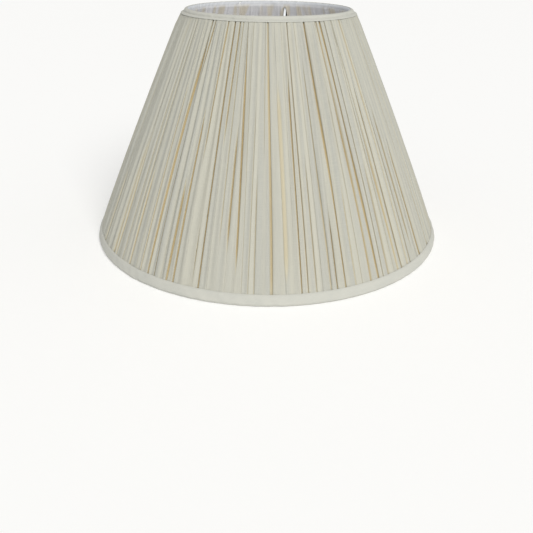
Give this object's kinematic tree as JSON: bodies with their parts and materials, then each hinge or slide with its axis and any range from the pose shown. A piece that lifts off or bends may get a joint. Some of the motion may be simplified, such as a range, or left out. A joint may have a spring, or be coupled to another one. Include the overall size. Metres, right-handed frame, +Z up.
{
  "type": "pleated lamp shade",
  "caption": "Pleated fabric empire lamp shade on a coated wire frame, lined, with bound rims and a tilting drop fitter.",
  "frame": {"origin": "centre of the circle that the bottom trim stands on", "axes": "+Z up the shade's axis, +Y through the back drop arm; the fitter tilts about a line parallel to Y"},
  "size_m": [0.4058, 0.4058, 0.247],
  "materials": {
    "white_wire": "satin white powder coat",
    "rivet_steel": "plain zinc",
    "cover_cloth": "slubby natural linen in gathered pleats",
    "trim_cloth": "bias strip of the same linen, stitched",
    "lining_cloth": "thin off-white lining cloth",
    "ring_tape": "white cotton tape"
  },
  "bodies": {
    "shade": {"top_ring": "white_wire", "bottom_ring": "white_wire", "strut_1": "white_wire", "strut_2": "white_wire", "strut_3": "white_wire", "strut_4": "white_wire", "strut_5": "white_wire", "strut_6": "white_wire", "strut_7": "white_wire", "strut_8": "white_wire", "top_ring_tape": "ring_tape", "bottom_ring_tape": "ring_tape", "drop_arm_back": "white_wire", "drop_arm_front": "white_wire", "pivot_rivet_back": "rivet_steel", "pivot_rivet_front": "rivet_steel", "pleated_cover": "cover_cloth", "lining": "lining_cloth", "top_trim": "trim_cloth", "bottom_trim": "trim_cloth"},
    "fitter": {"fitter_ring": "white_wire"}
  },
  "joints": [
    {"name": "fitter_tilt", "type": "hinge", "parent": "shade", "child": "fitter", "pos_m": [0, 0, 0.2], "axis": [0, 1, 0], "range_deg": [-30, 30]}
  ]
}
